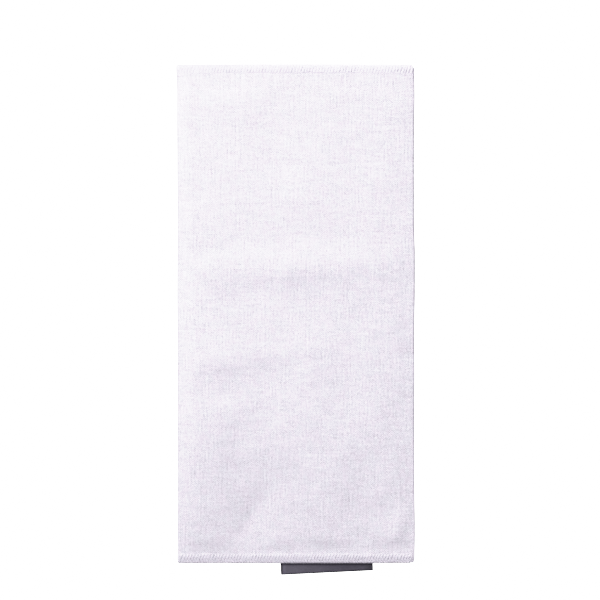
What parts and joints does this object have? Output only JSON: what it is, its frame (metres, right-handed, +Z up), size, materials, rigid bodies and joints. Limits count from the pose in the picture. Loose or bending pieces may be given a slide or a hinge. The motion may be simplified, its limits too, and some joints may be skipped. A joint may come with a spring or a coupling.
{
  "type": "cutlery pouch",
  "caption": "Flat rectangular cloth pouch with soft side folds, an overlocked open mouth, an overlocked shut end and a blank folded strip sewn under that end.",
  "frame": {"origin": "middle of the base of the bounding box of pouch and strip, on the surface that the pouch lies on", "axes": "+X across the pouch to the right, +Y from the shut end to the mouth, +Z up from the surface"},
  "size_m": [0.1682, 0.3592, 0.0102],
  "materials": {
    "pouch_cloth": "matt plain weave of pale lilac-white melange cotton, slightly fuzzy, with overlocked ends",
    "label_satin": "dark slate satin weave with a soft sheen, blank"
  },
  "bodies": {
    "root": {"pouch": "pouch_cloth", "label": "label_satin"}
  },
  "joints": []
}
